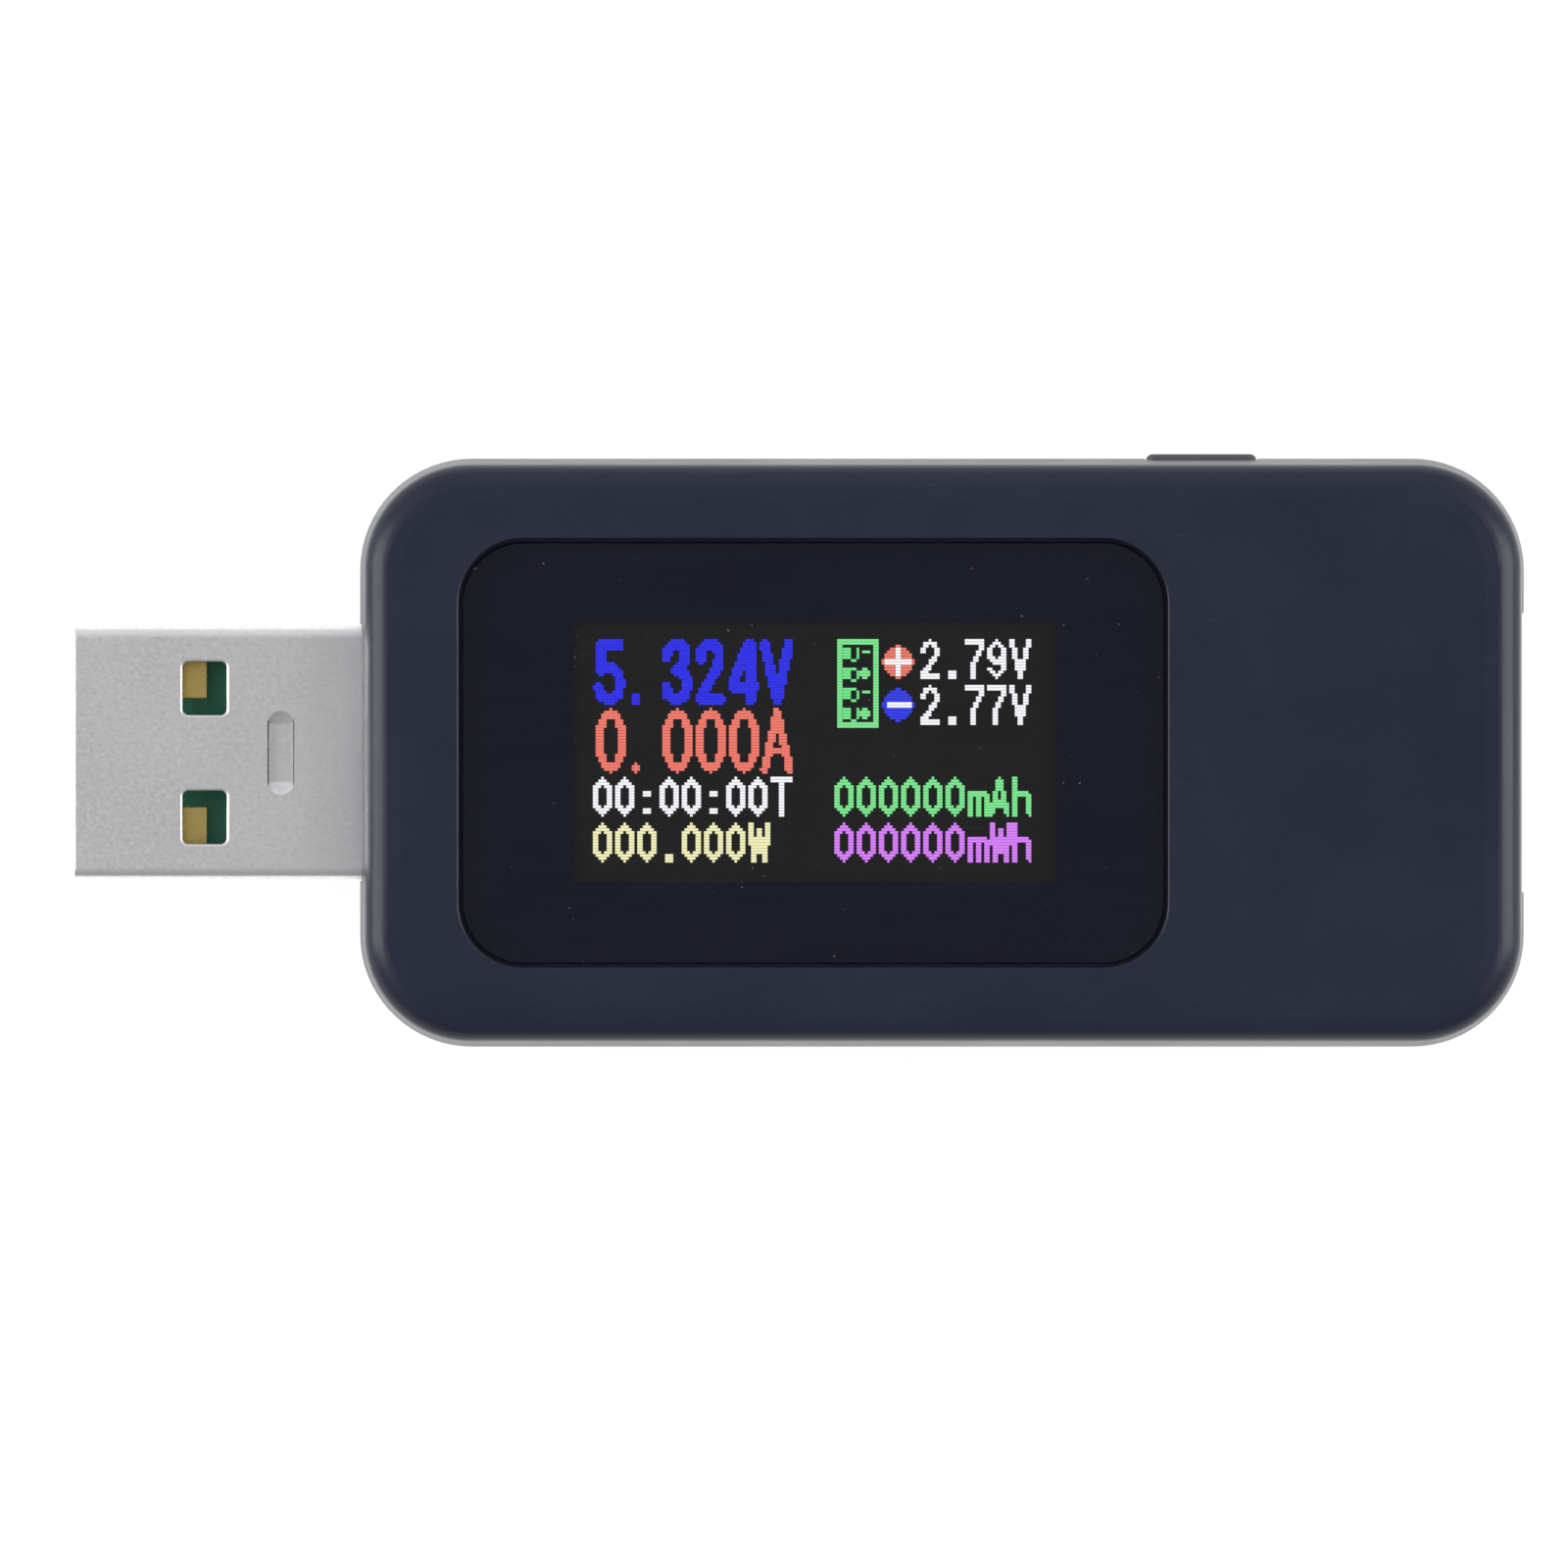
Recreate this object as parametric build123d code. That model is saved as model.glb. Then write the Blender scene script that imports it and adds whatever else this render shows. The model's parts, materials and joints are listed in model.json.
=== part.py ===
from build123d import *
import os

# An in-line USB power meter, lying on its back: a two-part plastic case with a USB-A plug at one end, a USB-A
# socket at the other, a small colour display under a clear window, and one push button on the long side.
# Millimetres. +X runs from the plug to the socket, +Y towards the button, +Z out of the display.
# The origin is under the middle of the whole object, on the surface that it rests on.

# ---- driving dimensions ----

# Case: its length, width and corners are at the parting plane, and its walls lean in from there
BODY_LENGTH = 55.2
BODY_WIDTH = 27.9
BODY_HEIGHT = 13.0
CORNER_R = 5.3
DRAFT = 0.42
EDGE_FILLET = 1.2
CROWN_WIDTH = 1.65
CROWN_DROP = 0.13
WALL = 1.5
BACK_WALL = 1.3
CEILING_Z = 11.0
PARTING_Z = 6.5
PARTING_CHAMFER = 0.14
LIP_HEIGHT = 1.2
LIP_THICKNESS = 0.65
LIP_GAP = 0.05
BEAD_LENGTH = 7.0
BEAD_HEIGHT = 0.4
BEAD_DEPTH = 0.15
BEAD_RISE = 0.75
BEAD_GAP = 0.06
RIB = 0.9

# Label on the back
LABEL_DEPTH = 0.25
LABEL_THICKNESS = 0.15
LABEL_RECESS = (40.0, 17.0)
LABEL_R = 2.0
LABEL_GAP = 0.2

# USB-A connectors: the plug's shell is 12 by 4.5, the socket's is 13.1 by 5.72, and both are 0.3 sheet
SHEET = 0.3
SHELL_GAP = 0.08
MOULDING_GAP = 0.04
PLUG_REACH = 13.5
PLUG_LENGTH = 18.7
PLUG_WIDTH = 12.0
PLUG_HEIGHT = 4.5
PLUG_Z = 6.5
PLUG_R = 0.55
LATCH_HOLE = (2.07, 2.5)
LATCH_HOLE_R = 0.28
LATCH_HOLE_IN = 6.2
LATCH_HOLE_Y = 3.05
LATCH_HOLE_EDGE = 0.13
SEAM = 0.06
LANCE_IN = 9.8
LANCE_SLOT = (1.26, 3.95)
LANCE_DEPTH = 0.5
LANCE_SLOPE = 0.6
TONGUE_IN = 0.35
TONGUE_TOP = 6.5
TONGUE_LENGTH = 8.9
SOCKET_LENGTH = 14.0
SOCKET_WIDTH = 13.1
SOCKET_HEIGHT = 5.72
SOCKET_R = 0.6
SOCKET_INSET = 0.3
SOCKET_BLOCK = 2.2
SOCKET_TONGUE = (8.8, 11.1, 1.84)
SOCKET_TONGUE_DROP = 0.72

# Contacts, by their distance from the middle line
DATA_Y = 1.0
POWER_Y = 3.5
DATA_PAD = 1.0
POWER_PAD = 1.9
PAD_START = 1.0
PAD_END = 6.28
PAD_RISE = 0.12
CONTACT = 0.25
CONTACT_RUN_Z = 5.5
CONTACT_RUN_WIDTH = 0.9
TAIL_WIDTH = 0.6
PLUG_TAIL_IN = 17.2
SPRING_WIDTH = 1.0
SPRING_THICKNESS = 0.2
SPRING_BOW = 0.85
SOCKET_TAIL_IN = 0.9

# Circuit board
BOARD_THICKNESS = 1.2
BOARD_GAP = 0.15
TAIL_DEPTH = 0.7
PIN_R = 0.6
PIN_GAP = 0.1
POST_R = 1.55
LEG_LENGTH = 1.0

# Window, from the face down: lens, clear glue, printed film, tape
WINDOW_LENGTH = 33.1
WINDOW_WIDTH = 19.9
WINDOW_R = 2.9
WINDOW_IN = 21.485
WINDOW_THICKNESS = 0.8
WINDOW_GAP = 0.15
WINDOW_DEPTH = 0.05
WINDOW_EDGE = 0.08
RIM_FILLET = 0.1
GLUE = 0.02
MASK_THICKNESS = 0.05
TAPE_THICKNESS = 0.1
TAPE_WIDTH = 2.2

# Display, from the top down: gasket, polariser, filter glass, lower glass, light guide, frame
VIEW_LENGTH = 22.75
VIEW_WIDTH = 12.23
VIEW_OFFSET = 0.1
GASKET_THICKNESS = 0.3
GASKET_WIDTH = 0.55
POLARISER = 0.15
GLASS = 0.45
GLASS_BORDER = 0.8
LEDGE = 2.2
GUIDE = 0.5
GUIDE_INSET = 0.5
FRAME_FLOOR = 0.35
FRAME_WALL = 0.4
FRAME_DROP = 0.2
FLANGE_WIDTH = 0.9
FLANGE_THICKNESS = 0.4
DRIVER = (0.7, 11.0, 0.3)
FLEX_WIDTH = 9.0
FLEX_THICKNESS = 0.12
FLEX_ROOM = 0.4
FLEX_OUT = 0.4
FLEX_BEND = 0.5
FLEX_FOOT = 4.2

# Button and its switch
BUTTON_IN = 39.89
BUTTON_LENGTH = 5.2
BUTTON_HEIGHT = 2.4
BUTTON_PROUD = 0.2
BUTTON_Z = 6.3
BUTTON_R = 0.45
BUTTON_GAP = 0.1
BUTTON_FLANGE = (6.7, 3.6, 0.8)
SWITCH_BACK_Y = 8.0
SWITCH_FRONT_Y = 10.55
SWITCH_LENGTH = 6.0
SWITCH_HEIGHT = 3.7
SWITCH_PLATE = 0.2
SWITCH_SLOT = (2.9, 1.6)
STEM = (2.7, 1.4)
CAVITY_R = 1.65
CAVITY_DEPTH = 1.15
HEAD_THICKNESS = 0.35
NUB_R = 0.45
DOME_RISE = 0.4
DOME_THICKNESS = 0.08
SWITCH_PIN_X = 2.2
SWITCH_PIN_Y = (8.6, 9.9)
SWITCH_PIN = (0.6, 0.25)

# What is on the board: (X, Y) of each part's middle, then its size
MCU_PLACE, MCU_SIZE = (1.0, -3.2), (7.0, 7.0, 1.45)
MEMORY_PLACE, MEMORY_SIZE = (9.6, -6.6), (4.9, 3.9, 1.5)
AMPLIFIER_PLACE, AMPLIFIER_SIZE = (13.2, 6.4), (3.0, 3.0, 1.05)
REGULATOR_PLACE, REGULATOR_SIZE = (-9.0, 7.6), (4.5, 2.5, 1.5)
SHUNT_PLACE, SHUNT_SIZE = (14.6, -0.6), (6.4, 3.2, 0.5)
INDUCTOR_PLACE, INDUCTOR_SIZE = (-9.2, -7.2), (4.0, 4.0, 1.8)
TANTALUM_PLACE, TANTALUM_SIZE = (-3.4, 8.6), (3.5, 2.8, 1.9)
CRYSTAL_PLACE, CRYSTAL_SIZE = (5.2, 4.0), (3.2, 2.5, 0.75)
DIODE_PLACE, DIODE_SIZE = (-12.6, -9.4), (2.4, 2.4, 2.0)
CAPACITOR_SIZE = (0.8, 1.6, 0.8)
RESISTOR_SIZE = (1.6, 0.8, 0.45)
CHIP_LIFT = 0.1
LEAD_SHEET = 0.15

# How far a cutter runs past the surface that it opens, and how far two joined shapes run into each other
OVER = 1.0
BITE = 0.1

# ---- places that follow from those dimensions ----

EDGE_Z = BODY_HEIGHT - CROWN_DROP
TOTAL_LENGTH = BODY_LENGTH + PLUG_REACH
PLUG_TIP = -TOTAL_LENGTH / 2
PLUG_REAR = PLUG_TIP + PLUG_LENGTH
PLUG_TOP = PLUG_Z + PLUG_HEIGHT / 2
PLUG_TAIL_X = PLUG_TIP + PLUG_TAIL_IN
LANCE_X = PLUG_TIP + LANCE_IN
BODY_LEFT = PLUG_TIP + PLUG_REACH
BODY_RIGHT = TOTAL_LENGTH / 2
BODY_X = (BODY_LEFT + BODY_RIGHT) / 2
SIDE_Y = BODY_WIDTH / 2
INNER_Y = SIDE_Y - WALL
BOARD_TOP = PLUG_Z - PLUG_HEIGHT / 2
BOARD_BOTTOM = BOARD_TOP - BOARD_THICKNESS
TAIL_BOTTOM = BOARD_BOTTOM - TAIL_DEPTH
SOCKET_MOUTH = BODY_RIGHT - SOCKET_INSET
SOCKET_REAR = SOCKET_MOUTH - SOCKET_LENGTH
SOCKET_Z = BOARD_TOP + SOCKET_HEIGHT / 2
SOCKET_TAIL_X = SOCKET_REAR + SOCKET_TAIL_IN
SOCKET_TONGUE_TOP = SOCKET_Z + SOCKET_HEIGHT / 2 - SHEET - SOCKET_TONGUE_DROP
SOCKET_TONGUE_BOTTOM = SOCKET_TONGUE_TOP - SOCKET_TONGUE[2]
SOCKET_TONGUE_FRONT = SOCKET_REAR + SOCKET_BLOCK + SOCKET_TONGUE[0]
WINDOW_X = BODY_LEFT + WINDOW_IN
VIEW_X = WINDOW_X + VIEW_OFFSET
WINDOW_TOP = BODY_HEIGHT - WINDOW_DEPTH
WINDOW_BOTTOM = WINDOW_TOP - WINDOW_THICKNESS
MASK_TOP = WINDOW_BOTTOM - GLUE
MASK_BOTTOM = MASK_TOP - MASK_THICKNESS
RECESS_FLOOR = MASK_BOTTOM - TAPE_THICKNESS
DISPLAY_TOP = MASK_BOTTOM - GASKET_THICKNESS
FILTER_TOP = DISPLAY_TOP - POLARISER
FILTER_BOTTOM = FILTER_TOP - GLASS
LOWER_BOTTOM = FILTER_BOTTOM - GLASS
GUIDE_BOTTOM = LOWER_BOTTOM - GUIDE
FRAME_BOTTOM = GUIDE_BOTTOM - FRAME_FLOOR
FLANGE_TOP = CEILING_Z - TAPE_THICKNESS
FILTER_LEFT = VIEW_X - VIEW_LENGTH / 2 - GLASS_BORDER
GLASS_RIGHT = VIEW_X + VIEW_LENGTH / 2 + GLASS_BORDER
GLASS_LEFT = FILTER_LEFT - LEDGE
GLASS_WIDTH = VIEW_WIDTH + 2 * GLASS_BORDER
FRAME_LEFT = GLASS_LEFT - FRAME_WALL
FRAME_RIGHT = GLASS_RIGHT + FRAME_WALL
FRAME_WIDTH = GLASS_WIDTH + 2 * FRAME_WALL
BUTTON_X = BODY_LEFT + BUTTON_IN
BUTTON_FACE_Y = SIDE_Y + BUTTON_PROUD
FLANGE_Y = INNER_Y - BUTTON_FLANGE[2]
SWITCH_Z = BOARD_TOP + SWITCH_HEIGHT / 2
BASE_FRONT_Y = SWITCH_FRONT_Y - SWITCH_PLATE
CAVITY_FLOOR_Y = BASE_FRONT_Y - CAVITY_DEPTH

CONTACTS = {"vbus": -POWER_Y, "data_minus": -DATA_Y, "data_plus": DATA_Y, "ground": POWER_Y}
PINS = [(x, y) for x in (BODY_LEFT + 4.6, BODY_RIGHT - 3.6) for y in (-9.5, 9.5)]
RIBS = (BODY_X - 9.0, BODY_X + 9.0)
BEADS = (BODY_X - 15.0, BODY_X)
PLUG_LEGS = (PLUG_REAR - 2.9, PLUG_REAR - 0.7)
SOCKET_LEGS = (SOCKET_REAR + 1.6, SOCKET_MOUTH - 2.9)


# ---- shared shapes ----

def around(middle, width):
    """A (low, high) range of that width."""
    return (middle - width / 2, middle + width / 2)


def block(x, y, z):
    """A box over three (low, high) ranges."""
    size = [high - low for low, high in (x, y, z)]
    middle = [(high + low) / 2 for low, high in (x, y, z)]
    return Pos(*middle) * Box(*size)


def slab(centre, size, radius, z):
    """A flat plate with rounded corners in plan, over a (low, high) range of Z."""
    outline = Pos(centre[0], centre[1], z[0]) * RectangleRounded(*size, radius)
    return extrude(outline, z[1] - z[0])


def bar_x(size, radius, z_mid, x):
    """A bar along X with rounded edges, over a (low, high) range of X."""
    outline = Plane.YZ.offset(x[0]) * Pos(0, z_mid) * RectangleRounded(*size, radius)
    return extrude(outline, x[1] - x[0])


def bar_y(size, radius, centre, y):
    """A bar along Y with rounded edges about an (x, z) centre, over a (low, high) range of Y."""
    outline = Plane.XZ.offset(-y[0]) * Pos(*centre) * RectangleRounded(*size, radius)
    return extrude(outline, y[1] - y[0], dir=(0, 1, 0))


def post(centre, radius, z):
    """A round post or hole, over a (low, high) range of Z."""
    height = z[1] - z[0]
    return Pos(centre[0], centre[1], z[0] + height / 2) * Cylinder(radius, height)


def disc_y(radius, y):
    """A disc on the button's axis, over a (low, high) range of Y."""
    return Pos(BUTTON_X, (y[0] + y[1]) / 2, BUTTON_Z) * Rot(90, 0, 0) * Cylinder(radius, y[1] - y[0])


def ribbon(points, thickness, y, bend=0.0):
    """A strip of sheet that follows (x, z) points, over a (low, high) range of Y."""
    path = FilletPolyline(*points, radius=bend) if bend else Polyline(*points)
    outline = Plane.XZ.offset(-y[0]) * trace(path, thickness)
    return extrude(outline, y[1] - y[0], dir=(0, 1, 0))


def highest(part, axis=Axis.Z):
    """The edges furthest along an axis."""
    return part.edges().group_by(axis)[-1]


def lowest(part, axis=Axis.Z):
    """The edges least far along an axis."""
    return part.edges().group_by(axis)[0]


def in_case(inset, z):
    """The case's outline, set in by inset all round, over a (low, high) range of Z."""
    size = (BODY_LENGTH - 2 * inset, BODY_WIDTH - 2 * inset)
    return slab((BODY_X, 0), size, CORNER_R - inset, z)


def leaning(start, end):
    """The case's outline drawn out from one (inset, z) to another."""
    outlines = []
    for inset, z in (start, end):
        size = (BODY_LENGTH - 2 * inset, BODY_WIDTH - 2 * inset)
        outlines.append(Pos(BODY_X, 0, z) * RectangleRounded(*size, CORNER_R - inset))
    return loft(outlines, ruled=True)


def side_range(outer, thickness, side):
    """The (low, high) range of a wall whose outer face is that far to one side of the middle."""
    return sorted((side * outer, side * (outer - thickness)))


# ---- case ----

def case_openings():
    """The holes in the walls for the plug, the socket and the button."""
    plug_size = (PLUG_WIDTH + 2 * SHELL_GAP, PLUG_HEIGHT + 2 * SHELL_GAP)
    plug = bar_x(plug_size, PLUG_R, PLUG_Z, (BODY_LEFT - OVER, BODY_LEFT + WALL + OVER))
    socket_size = (SOCKET_WIDTH + 2 * SHELL_GAP, SOCKET_HEIGHT + 2 * SHELL_GAP)
    socket = bar_x(socket_size, SOCKET_R, SOCKET_Z, (BODY_RIGHT - WALL - OVER, BODY_RIGHT + OVER))
    button_size = (BUTTON_LENGTH + 2 * BUTTON_GAP, BUTTON_HEIGHT + 2 * BUTTON_GAP)
    button_y = (INNER_Y - LIP_GAP, SIDE_Y + OVER)
    button = bar_y(button_size, BUTTON_R + BUTTON_GAP, (BUTTON_X, BUTTON_Z), button_y)
    return [plug, socket, button]


def snap_beads(extra):
    """The beads that hold the halves together, on the lip's outer face. Grown by extra, their grooves."""
    lip_face = INNER_Y + LIP_GAP + LIP_THICKNESS
    depth = BEAD_DEPTH + extra
    z = around(PARTING_Z + BEAD_RISE, BEAD_HEIGHT + 2 * extra)
    beads = []
    for x in BEADS:
        for side in (-1, 1):
            y = side_range(lip_face + depth, depth + BITE, side)
            beads.append(block(around(x, BEAD_LENGTH + 2 * extra), y, z))
    return beads


def window_recess():
    """The recess for the lens."""
    size = (WINDOW_LENGTH + 2 * WINDOW_GAP, WINDOW_WIDTH + 2 * WINDOW_GAP)
    return slab((WINDOW_X, 0), size, WINDOW_R + WINDOW_GAP, (RECESS_FLOOR, BODY_HEIGHT + OVER))


def recess_rim(shell):
    """The edge where the window's recess opens in the face."""
    half_x = WINDOW_LENGTH / 2 + 2 * WINDOW_GAP
    half_y = WINDOW_WIDTH / 2 + 2 * WINDOW_GAP
    rim = [e for e in highest(shell) if abs(e.center().X - WINDOW_X) < half_x]
    return [e for e in rim if abs(e.center().Y) < half_y]


def front_shell():
    """The half with the display: its face falls away at the border, and posts inside press on the board."""
    walls = leaning((0, PARTING_Z), (DRAFT, EDGE_Z))
    shell = walls + leaning((DRAFT, EDGE_Z), (DRAFT + CROWN_WIDTH, BODY_HEIGHT))
    shell = fillet([e for e in shell.edges() if abs(e.center().Z - EDGE_Z) < CROWN_DROP / 2], EDGE_FILLET)
    shell = chamfer(lowest(shell), PARTING_CHAMFER)
    shell -= in_case(WALL, (PARTING_Z - OVER, CEILING_Z))
    lip_inset = WALL - LIP_THICKNESS - 2 * LIP_GAP
    shell -= in_case(lip_inset, (PARTING_Z - OVER, PARTING_Z + LIP_HEIGHT + LIP_GAP))
    shell -= window_recess()
    shell = fillet(recess_rim(shell), RIM_FILLET)
    # The display stands up through the floor of the recess, with room at one end for its flexible tail
    way = (CEILING_Z - OVER, RECESS_FLOOR + BITE)
    display_x = (FRAME_LEFT - BITE, FRAME_RIGHT + BITE)
    shell -= block(display_x, around(0, FRAME_WIDTH + 2 * BITE), way)
    shell -= block((FRAME_LEFT - 2 * FLEX_OUT, FRAME_LEFT), around(0, FLEX_WIDTH + FLEX_ROOM), way)
    for place in PINS:
        shell += post(place, POST_R, (BOARD_TOP, CEILING_Z + BITE))
        shell -= post(place, PIN_R + PIN_GAP, (BOARD_TOP - OVER, BOARD_TOP + LIP_HEIGHT + FLEX_ROOM))
    for cutter in [*case_openings(), *snap_beads(BEAD_GAP)]:
        shell -= cutter
    return shell


def back_shell():
    """The half that it rests on: a tray with a lip, snap beads, board supports and locating pins."""
    shell = leaning((DRAFT, 0), (0, PARTING_Z))
    shell = fillet(lowest(shell), EDGE_FILLET)
    shell = chamfer(highest(shell), PARTING_CHAMFER)
    shell -= in_case(WALL, (BACK_WALL, PARTING_Z + OVER))
    lip_z = (PARTING_Z - LIP_THICKNESS, PARTING_Z + LIP_HEIGHT)
    shell += in_case(WALL - LIP_GAP - LIP_THICKNESS, lip_z) - in_case(WALL - LIP_GAP, lip_z)
    for bead in snap_beads(0):
        shell += bead
    for place in PINS:
        shell += post(place, POST_R, (BACK_WALL - BITE, BOARD_BOTTOM))
        shell += post(place, PIN_R, (BACK_WALL, BOARD_TOP + LIP_HEIGHT))
    for x in RIBS:
        rib_y = around(0, 2 * INNER_Y + 2 * BITE)
        shell += block(around(x, RIB), rib_y, (BACK_WALL - BITE, BOARD_BOTTOM))
    shell -= slab((BODY_X, 0), LABEL_RECESS, LABEL_R, (-OVER, LABEL_DEPTH))
    for cutter in case_openings():
        shell -= cutter
    return shell


def back_label():
    """A blank adhesive label in a shallow recess, clear of the surface that the meter rests on."""
    size = [length - 2 * LABEL_GAP for length in LABEL_RECESS]
    return slab((BODY_X, 0), size, LABEL_R - LABEL_GAP, (LABEL_DEPTH - LABEL_THICKNESS, LABEL_DEPTH))


# ---- window ----

def window_sheet(z):
    """A sheet with the lens's outline."""
    return slab((WINDOW_X, 0), (WINDOW_LENGTH, WINDOW_WIDTH), WINDOW_R, z)


def display_window():
    """A clear lens, just under the face, with its upper edge eased."""
    return chamfer(highest(window_sheet((WINDOW_BOTTOM, WINDOW_TOP))), WINDOW_EDGE)


def window_mask():
    """The opaque printed film behind the lens, with a hole the size of the lit display."""
    hole = block(around(VIEW_X, VIEW_LENGTH), around(0, VIEW_WIDTH), (MASK_BOTTOM - OVER, WINDOW_TOP))
    return window_sheet((MASK_BOTTOM, MASK_TOP)) - hole


def window_tape():
    """The frame of double-sided tape that fixes the lens in its recess."""
    size = (WINDOW_LENGTH - 2 * TAPE_WIDTH, WINDOW_WIDTH - 2 * TAPE_WIDTH)
    hole = slab((WINDOW_X, 0), size, WINDOW_R - TAPE_WIDTH, (RECESS_FLOOR - OVER, WINDOW_TOP))
    return window_sheet((RECESS_FLOOR, MASK_BOTTOM)) - hole


# ---- display ----

def display_gasket():
    """A foam frame between the lens and the display."""
    hole = (VIEW_LENGTH + 2 * BITE, VIEW_WIDTH + 2 * BITE)
    outer = [length + 2 * GASKET_WIDTH for length in hole]
    z = (DISPLAY_TOP, MASK_BOTTOM)
    frame = block(around(VIEW_X, outer[0]), around(0, outer[1]), z)
    return frame - block(around(VIEW_X, hole[0]), around(0, hole[1]), z)


def display_polariser():
    """The film on top of the glass, whose upper face carries the picture."""
    x = (FILTER_LEFT + BITE, GLASS_RIGHT - BITE)
    return block(x, around(0, GLASS_WIDTH - 2 * BITE), (FILTER_TOP, DISPLAY_TOP))


def display_filter_glass():
    """The upper pane, which stops short of the ledge."""
    return block((FILTER_LEFT, GLASS_RIGHT), around(0, GLASS_WIDTH), (FILTER_BOTTOM, FILTER_TOP))


def display_lower_glass():
    """The lower pane, with a ledge at the plug's end that carries the driver and the flexible tail."""
    return block((GLASS_LEFT, GLASS_RIGHT), around(0, GLASS_WIDTH), (LOWER_BOTTOM, FILTER_BOTTOM))


def display_driver():
    """The driver chip, bonded to the ledge beside the upper pane."""
    length, width, height = DRIVER
    right = FILTER_LEFT - 2 * BITE
    return block((right - length, right), around(0, width), (FILTER_BOTTOM, FILTER_BOTTOM + height))


def light_guide_room(top):
    """The light guide's outline, from its underside up to top."""
    x = (GLASS_LEFT + GUIDE_INSET, GLASS_RIGHT - GUIDE_INSET)
    return block(x, around(0, GLASS_WIDTH - 2 * GUIDE_INSET), (GUIDE_BOTTOM, top))


def display_light_guide():
    """The clear plate that spreads the backlight."""
    return light_guide_room(LOWER_BOTTOM)


def display_flange(z):
    """The outline round the display that is fixed to the case, open where the flexible tail comes down."""
    x = (FRAME_LEFT - FLANGE_WIDTH, FRAME_RIGHT + FLANGE_WIDTH)
    outer = block(x, around(0, FRAME_WIDTH + 2 * FLANGE_WIDTH), z)
    return outer - block((x[0], FRAME_LEFT), around(0, FLEX_WIDTH + FLEX_ROOM), z)


def display_frame():
    """The white tray that holds the light guide and the glass, with a flange that is taped to the case."""
    top = DISPLAY_TOP - FRAME_DROP
    frame = block((FRAME_LEFT, FRAME_RIGHT), around(0, FRAME_WIDTH), (FRAME_BOTTOM, top))
    frame += display_flange((FLANGE_TOP - FLANGE_THICKNESS, FLANGE_TOP))
    glass_x = (GLASS_LEFT - LIP_GAP, GLASS_RIGHT + LIP_GAP)
    frame -= block(glass_x, around(0, GLASS_WIDTH + 2 * LIP_GAP), (LOWER_BOTTOM, top + OVER))
    frame -= light_guide_room(LOWER_BOTTOM + BITE)
    flex_x = (FRAME_LEFT - OVER, GLASS_LEFT)
    return frame - block(flex_x, around(0, FLEX_WIDTH + FLEX_ROOM), (FILTER_BOTTOM - LIP_GAP, top + OVER))


def display_tape():
    """The frame of tape between that flange and the case."""
    z = (FLANGE_TOP, CEILING_Z)
    hole_x = (FRAME_LEFT - BITE, FRAME_RIGHT + BITE)
    return display_flange(z) - block(hole_x, around(0, FRAME_WIDTH + 2 * BITE), z)


def display_flex():
    """The flexible tail: off the ledge, down past the frame, and soldered flat on the board."""
    z_high = FILTER_BOTTOM + FLEX_THICKNESS / 2
    z_low = BOARD_TOP + FLEX_THICKNESS / 2
    x_out = FRAME_LEFT - FLEX_OUT
    x_ledge = FILTER_LEFT - DRIVER[0] - FLEX_ROOM
    points = [(x_ledge, z_high), (x_out, z_high), (x_out, z_low), (x_out + FLEX_FOOT, z_low)]
    return ribbon(points, FLEX_THICKNESS, around(0, FLEX_WIDTH), bend=FLEX_BEND)


# ---- shells of both connectors ----

def shell_tube(size, radius, z_mid, x):
    """A tube of folded sheet along X."""
    inner = [length - 2 * SHEET for length in size]
    return bar_x(size, radius, z_mid, x) - bar_x(inner, radius - 0.8 * SHEET, z_mid, x)


def shell_legs(places, width, top):
    """Legs that run down both sides of a shell and through the board."""
    legs = []
    for x in places:
        for side in (-1, 1):
            y = side_range(width / 2, SHEET, side)
            legs.append(block(around(x, LEG_LENGTH), y, (TAIL_BOTTOM, top)))
    return legs


def tail_gap(x):
    """The opening in a shell's floor that the contact tails come down through."""
    y = around(0, 2 * POWER_Y + 2 * SPRING_WIDTH)
    return block(x, y, around(BOARD_TOP, 4 * SHEET))


# ---- USB plug ----

def lance_strip():
    """The strip pressed down between two cuts in the plug's shell, which locks the insulator."""
    half = LANCE_SLOT[1] / 2
    root = (-half - BITE, PLUG_TOP)
    upper = [root, (-half, PLUG_TOP), (-half + LANCE_SLOPE, PLUG_TOP - LANCE_DEPTH)]
    upper += [(-y, z) for y, z in reversed(upper)]
    lower = [(y, z - SHEET) for y, z in reversed(upper)]
    outline = Plane.YZ.offset(LANCE_X - OVER) * make_face(Polyline(*upper, *lower, close=True))
    width = LANCE_SLOT[0] - BITE
    length = LANCE_SLOT[1] + 2 * BITE
    plan = slab((LANCE_X, 0), (width, length), width / 2 - 0.01, around(PLUG_TOP, 2 * OVER))
    return extrude(outline, 2 * OVER) & plan


def outer_edges(shell, hole):
    """The edges of a hole in the plug's shell, on the outside."""
    reach = hole.bounding_box()
    found = []
    for edge in shell.edges():
        at = edge.center()
        in_x = reach.min.X - SEAM < at.X < reach.max.X + SEAM
        in_y = reach.min.Y - SEAM < at.Y < reach.max.Y + SEAM
        outside = abs(abs(at.Z - PLUG_Z) - PLUG_HEIGHT / 2) < SHEET / 2
        if in_x and in_y and outside and reach.min.Z < at.Z < reach.max.Z:
            found.append(edge)
    return found


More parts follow.
